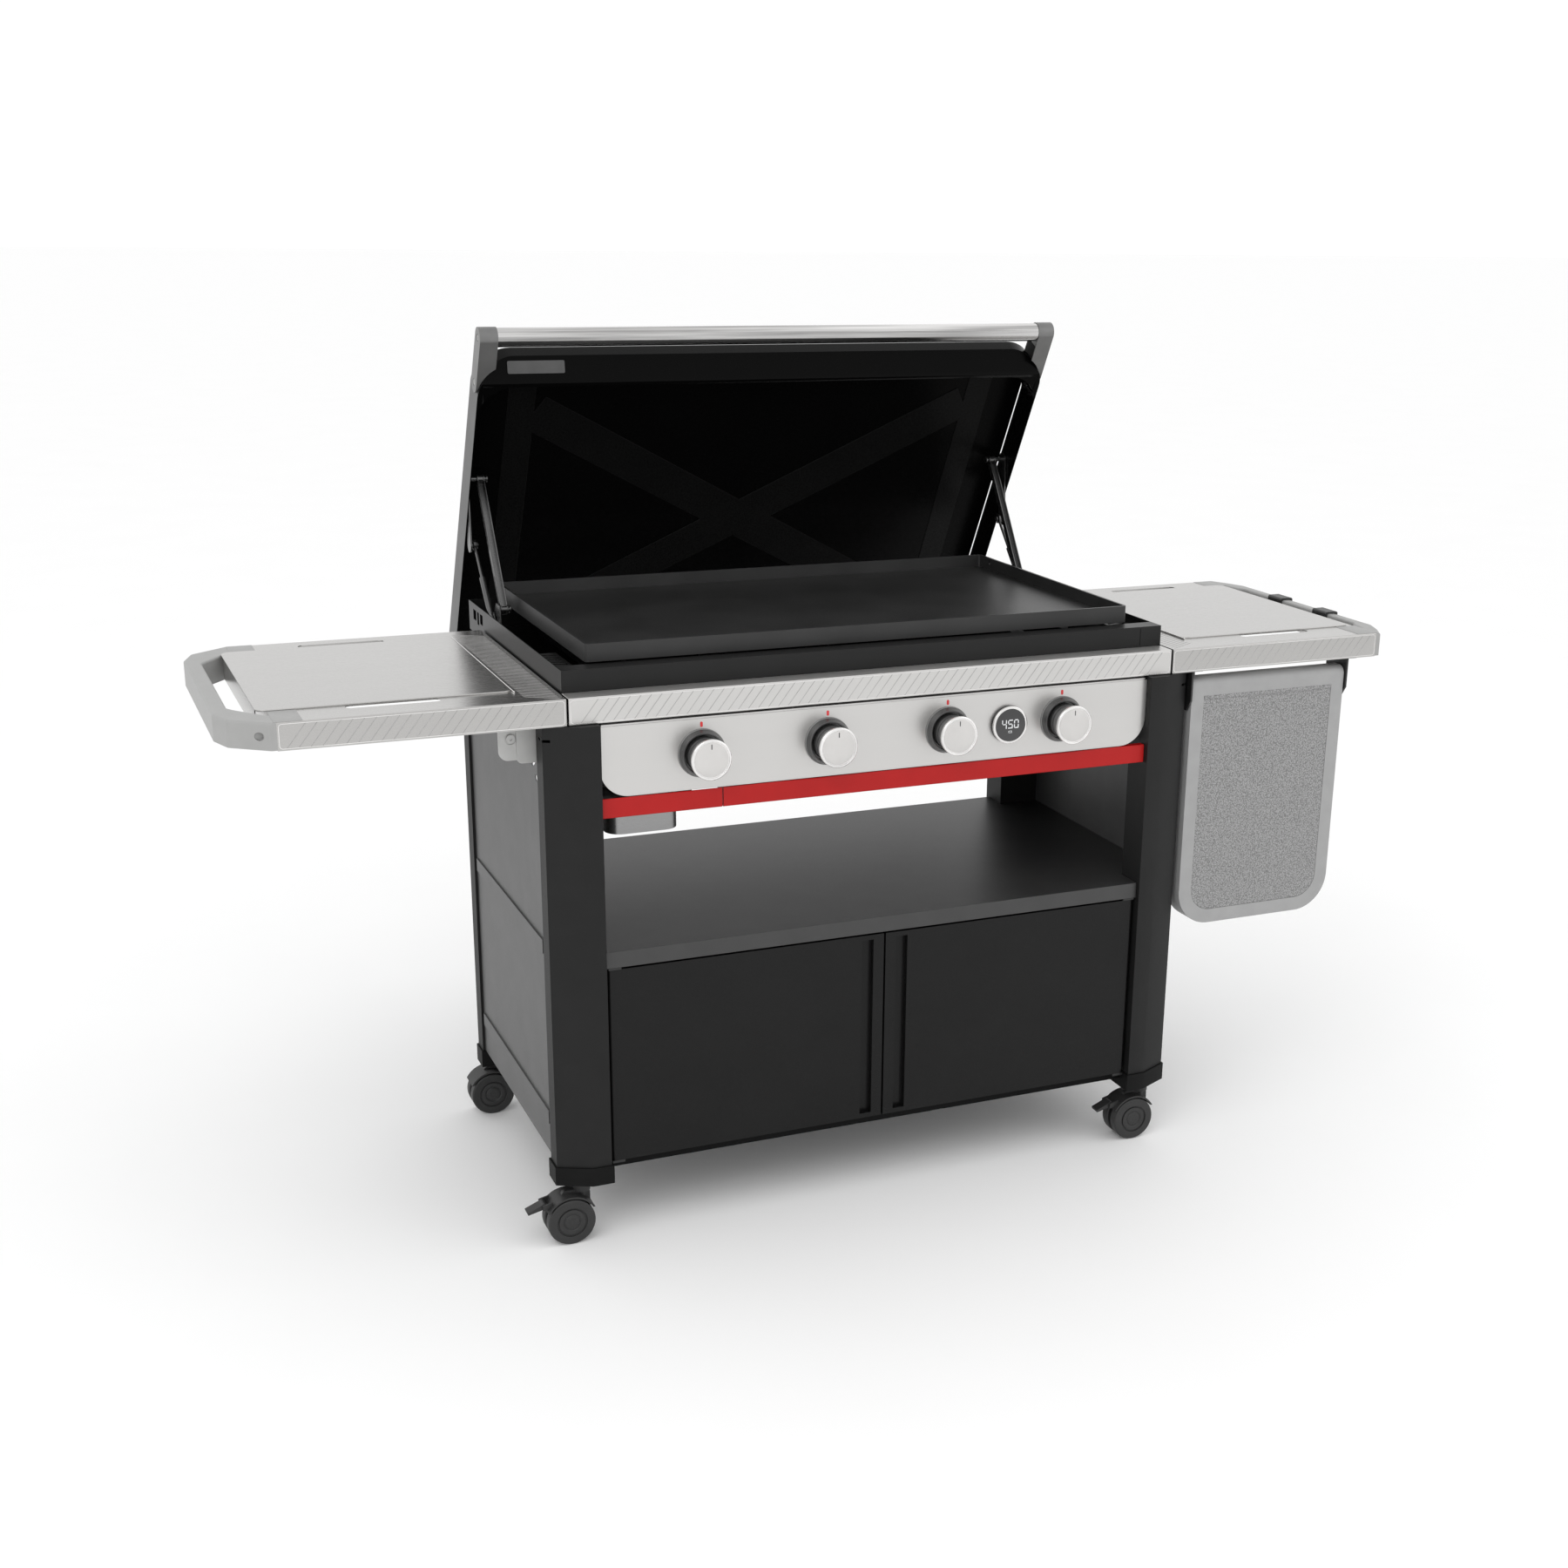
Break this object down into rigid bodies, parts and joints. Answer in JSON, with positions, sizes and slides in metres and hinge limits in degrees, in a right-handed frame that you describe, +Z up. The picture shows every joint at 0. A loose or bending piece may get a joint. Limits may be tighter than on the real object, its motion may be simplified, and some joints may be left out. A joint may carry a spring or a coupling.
{
  "type": "flat-top gas griddle cart",
  "caption": "Flat-top gas griddle cart with a lift-up lid on links, side tables, a fold-up flap, an open shelf, a two-door cabinet and casters.",
  "frame": {"origin": "floor level, under the middle of the bounding box with the lid open", "axes": "+X to the right along the front, +Y to the back (knobs face -Y), +Z up"},
  "size_m": [1.953, 0.8651, 1.3547],
  "materials": {
    "post_black": "fine satin powder coat",
    "foot_plastic": "fine grained plastic",
    "panel_grey": "satin powder coat",
    "shelf_satin": "satin powder coat",
    "box_black": "semi-gloss heat-proof paint",
    "trim_steel": "brushed with a faint slanted line pattern",
    "fascia_steel": "brushed along its length",
    "bezel_dark": "dark with a grey metallic band",
    "knob_black": "satin, with a light face ring",
    "display_black": "black with a bright rim",
    "display_glass": "polished black window",
    "pipe_steel": "zinc plated",
    "valve_brass": "cast and machined",
    "red_coat": "red powder coat",
    "pan_steel": "drawn stainless steel",
    "table_steel": "brushed stainless steel",
    "grip_grey": "light grey satin plastic",
    "hook_black": "satin plastic",
    "flap_grey": "light grey moulded plastic",
    "flap_speckle": "speckled, grained plastic",
    "bracket_light": "light grey plastic",
    "hinge_black": "black coated steel",
    "lid_enamel": "high-gloss black enamel",
    "tube_chrome": "polished",
    "end_satin": "bead-blasted satin metal",
    "link_steel": "bright zinc plated",
    "plate_iron": "seasoned dark carbon steel",
    "door_gloss": "gloss black powder coat",
    "caster_dark": "dark grey nylon",
    "screw_zinc": "zinc plated"
  },
  "bodies": {
    "cart": {"legs": "post_black", "leg_feet": "foot_plastic", "side_panels": "panel_grey", "middle_shelf": "shelf_satin", "cabinet_floor": "shelf_satin", "back_panel": "shelf_satin", "cook_box": "box_black", "front_trim": "trim_steel", "control_panel": "fascia_steel", "knob_bezels": "bezel_dark", "display_housing": "display_black", "display_lens": "display_glass", "gas_manifold": "pipe_steel", "gas_valves": "valve_brass", "burners": "pipe_steel", "drawer_runners": "pipe_steel", "lower_rail": "red_coat", "table_left": "table_steel", "table_right": "table_steel", "table_handle_left": "grip_grey", "table_handle_right": "grip_grey", "table_plates": "table_steel", "table_brackets": "bracket_light", "folding_hinges": "hinge_black", "linkage_bases": "link_steel", "door_hinges": "hinge_black"},
    "lid": {"lid_shell": "lid_enamel", "lid_brace": "lid_enamel", "lid_handle": "tube_chrome", "lid_handle_brackets": "end_satin", "lid_badge": "end_satin", "lid_pivots": "link_steel", "fasteners": "screw_zinc"},
    "griddle_plate": {"griddle_plate": "plate_iron"},
    "grease_tray": {"grease_drawer": "red_coat", "grease_pan": "pan_steel"},
    "folding_panel": {"folding_frame": "flap_grey", "folding_insert": "flap_speckle"},
    "lid_arm_left": {"lid_arm_left": "link_steel"},
    "lid_arm_right": {"lid_arm_right": "link_steel"},
    "lid_strut_left": {"lid_strut_left": "link_steel"},
    "lid_strut_right": {"lid_strut_right": "link_steel"},
    "door_left": {"door_left": "door_gloss"},
    "door_right": {"door_right": "door_gloss"},
    "tool_hook_front": {"tool_hook_front": "hook_black"},
    "tool_hook_rear": {"tool_hook_rear": "hook_black"},
    "brake_lever_left": {"brake_lever_left": "caster_dark"},
    "brake_lever_right": {"brake_lever_right": "caster_dark"},
    "knob_1": {"knob_1": "knob_black"},
    "knob_2": {"knob_2": "knob_black"},
    "knob_3": {"knob_3": "knob_black"},
    "knob_4": {"knob_4": "knob_black"},
    "caster_front_left": {"caster_fork_front_left": "caster_dark"},
    "wheel_front_left": {"caster_wheel_front_left": "caster_dark"},
    "caster_front_right": {"caster_fork_front_right": "caster_dark"},
    "wheel_front_right": {"caster_wheel_front_right": "caster_dark"},
    "caster_rear_left": {"caster_fork_rear_left": "caster_dark"},
    "wheel_rear_left": {"caster_wheel_rear_left": "caster_dark"},
    "caster_rear_right": {"caster_fork_rear_right": "caster_dark"},
    "wheel_rear_right": {"caster_wheel_rear_right": "caster_dark"}
  },
  "joints": [
    {"name": "lid_lift", "type": "hinge", "parent": "cart", "child": "lid_arm_left", "pos_m": [-0.468, 0.09544, 0.90476], "axis": [-1, 0, 0], "range_deg": [-115.44, 0]},
    {"name": "lid_tilt", "type": "hinge", "parent": "lid_arm_left", "child": "lid", "pos_m": [-0.468, 0.22588, 1.10105], "axis": [-1, 0, 0], "range_deg": [0, 54.45]},
    {"name": "lid_arm_right_turn", "type": "hinge", "parent": "cart", "child": "lid_arm_right", "pos_m": [0.483, 0.09544, 0.90476], "axis": [-1, 0, 0], "range_deg": [-115.45, 0]},
    {"name": "lid_strut_left_turn", "type": "hinge", "parent": "cart", "child": "lid_strut_left", "pos_m": [-0.484, 0.11044, 0.87875], "axis": [-1, 0, 0], "range_deg": [-133.01, 0]},
    {"name": "lid_strut_right_turn", "type": "hinge", "parent": "cart", "child": "lid_strut_right", "pos_m": [0.499, 0.11044, 0.87875], "axis": [-1, 0, 0], "range_deg": [-133.01, 0]},
    {"name": "griddle_plate_lift", "type": "slide", "parent": "cart", "child": "griddle_plate", "axis": [0, 0, 1], "range_m": [0, 0.15]},
    {"name": "knob_1_turn", "type": "hinge", "parent": "cart", "child": "knob_1", "pos_m": [-0.2955, -0.4065, 0.768], "axis": [0, -1, 0], "range_deg": [0, 210]},
    {"name": "knob_2_turn", "type": "hinge", "parent": "cart", "child": "knob_2", "pos_m": [-0.0935, -0.4065, 0.768], "axis": [0, -1, 0], "range_deg": [0, 210]},
    {"name": "knob_3_turn", "type": "hinge", "parent": "cart", "child": "knob_3", "pos_m": [0.1085, -0.4065, 0.768], "axis": [0, -1, 0], "range_deg": [0, 210]},
    {"name": "knob_4_turn", "type": "hinge", "parent": "cart", "child": "knob_4", "pos_m": [0.3105, -0.4065, 0.768], "axis": [0, -1, 0], "range_deg": [0, 210]},
    {"name": "grease_tray_slide", "type": "slide", "parent": "cart", "child": "grease_tray", "axis": [0, -1, 0], "range_m": [0, 0.28]},
    {"name": "door_left_swing", "type": "hinge", "parent": "cart", "child": "door_left", "pos_m": [-0.44, -0.3805, 0.286], "axis": [0, 0, -1], "range_deg": [0, 90]},
    {"name": "door_right_swing", "type": "hinge", "parent": "cart", "child": "door_right", "pos_m": [0.455, -0.3805, 0.286], "axis": [0, 0, 1], "range_deg": [0, 90]},
    {"name": "folding_panel_swing", "type": "hinge", "parent": "cart", "child": "folding_panel", "pos_m": [0.7095, -0.3605, 0.798], "axis": [-1, 0, 0], "range_deg": [0, 90]},
    {"name": "tool_hook_front_slide", "type": "slide", "parent": "cart", "child": "tool_hook_front", "axis": [0, 1, 0], "range_m": [-0.06, 0.045]},
    {"name": "tool_hook_rear_slide", "type": "slide", "parent": "cart", "child": "tool_hook_rear", "axis": [0, 1, 0], "range_m": [-0.045, 0.065]},
    {"name": "caster_front_left_swivel", "type": "hinge", "parent": "cart", "child": "caster_front_left", "pos_m": [-0.4945, -0.372, 0.09], "axis": [0, 0, 1], "continuous": true},
    {"name": "wheel_front_left_roll", "type": "hinge", "parent": "caster_front_left", "child": "wheel_front_left", "pos_m": [-0.5165, -0.372, 0.0375], "axis": [0, 1, 0], "continuous": true},
    {"name": "caster_front_right_swivel", "type": "hinge", "parent": "cart", "child": "caster_front_right", "pos_m": [0.5095, -0.372, 0.09], "axis": [0, 0, 1], "continuous": true},
    {"name": "wheel_front_right_roll", "type": "hinge", "parent": "caster_front_right", "child": "wheel_front_right", "pos_m": [0.4875, -0.372, 0.0375], "axis": [0, 1, 0], "continuous": true},
    {"name": "caster_rear_left_swivel", "type": "hinge", "parent": "cart", "child": "caster_rear_left", "pos_m": [-0.4945, 0.139, 0.09], "axis": [0, 0, 1], "continuous": true},
    {"name": "wheel_rear_left_roll", "type": "hinge", "parent": "caster_rear_left", "child": "wheel_rear_left", "pos_m": [-0.5165, 0.139, 0.0375], "axis": [0, 1, 0], "continuous": true},
    {"name": "caster_rear_right_swivel", "type": "hinge", "parent": "cart", "child": "caster_rear_right", "pos_m": [0.5095, 0.139, 0.09], "axis": [0, 0, 1], "continuous": true},
    {"name": "wheel_rear_right_roll", "type": "hinge", "parent": "caster_rear_right", "child": "wheel_rear_right", "pos_m": [0.4875, 0.139, 0.0375], "axis": [0, 1, 0], "continuous": true},
    {"name": "brake_lever_left_press", "type": "hinge", "parent": "caster_front_left", "child": "brake_lever_left", "pos_m": [-0.5565, -0.372, 0.066], "axis": [0, 1, 0], "range_deg": [0, 14]},
    {"name": "brake_lever_right_press", "type": "hinge", "parent": "caster_front_right", "child": "brake_lever_right", "pos_m": [0.4475, -0.372, 0.066], "axis": [0, 1, 0], "range_deg": [0, 14]}
  ],
  "couplings": [
    {"joint": "lid_tilt", "follows": "lid_lift", "ratio": -0.47159},
    {"joint": "lid_arm_right_turn", "follows": "lid_lift", "ratio": 1},
    {"joint": "lid_strut_left_turn", "follows": "lid_lift", "ratio": 1.1521},
    {"joint": "lid_strut_right_turn", "follows": "lid_lift", "ratio": 1.1521}
  ]
}
